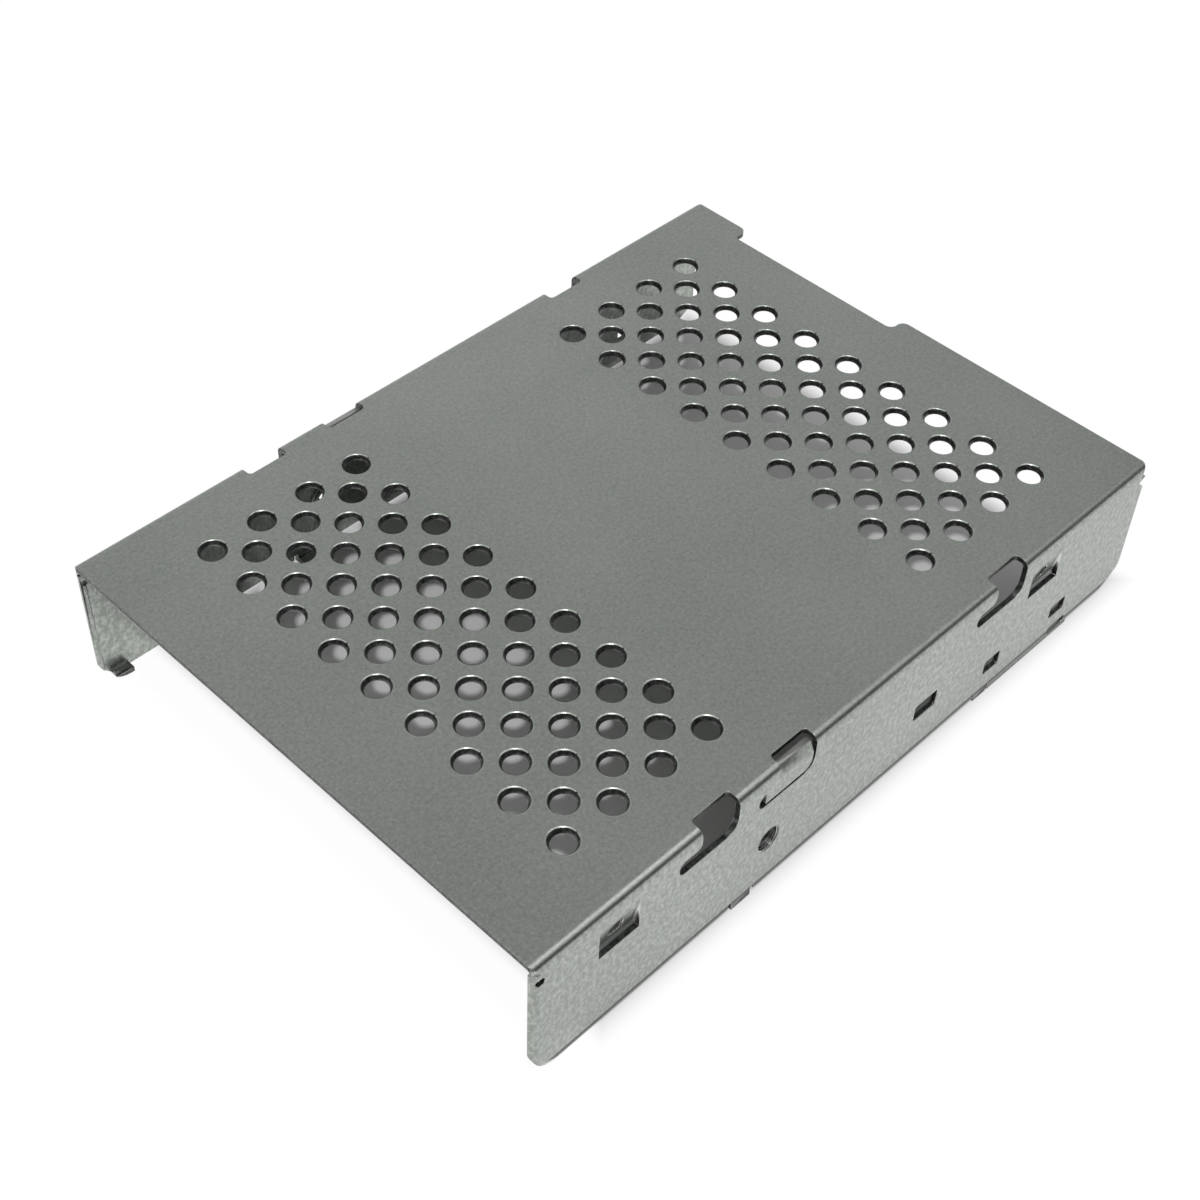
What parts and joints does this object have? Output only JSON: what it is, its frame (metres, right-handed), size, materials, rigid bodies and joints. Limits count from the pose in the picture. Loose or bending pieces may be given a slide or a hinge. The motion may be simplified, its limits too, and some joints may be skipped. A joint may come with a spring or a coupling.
{
  "type": "server drive tray",
  "caption": "Folded sheet-steel tray that carries a 3.5 inch drive in a server, with a vented plate, hook slots and formed side pins.",
  "frame": {"origin": "middle of the footprint, on the surface that the tray rests on with its plate on top", "axes": "+X towards the connector end, +Z from the open side up to the plate, Y across the tray"},
  "size_m": [0.1462, 0.1056, 0.0281],
  "materials": {
    "galvanised_steel": "galvanised, fine spangle, satin"
  },
  "bodies": {
    "root": {"drive_tray": "galvanised_steel"}
  },
  "joints": []
}
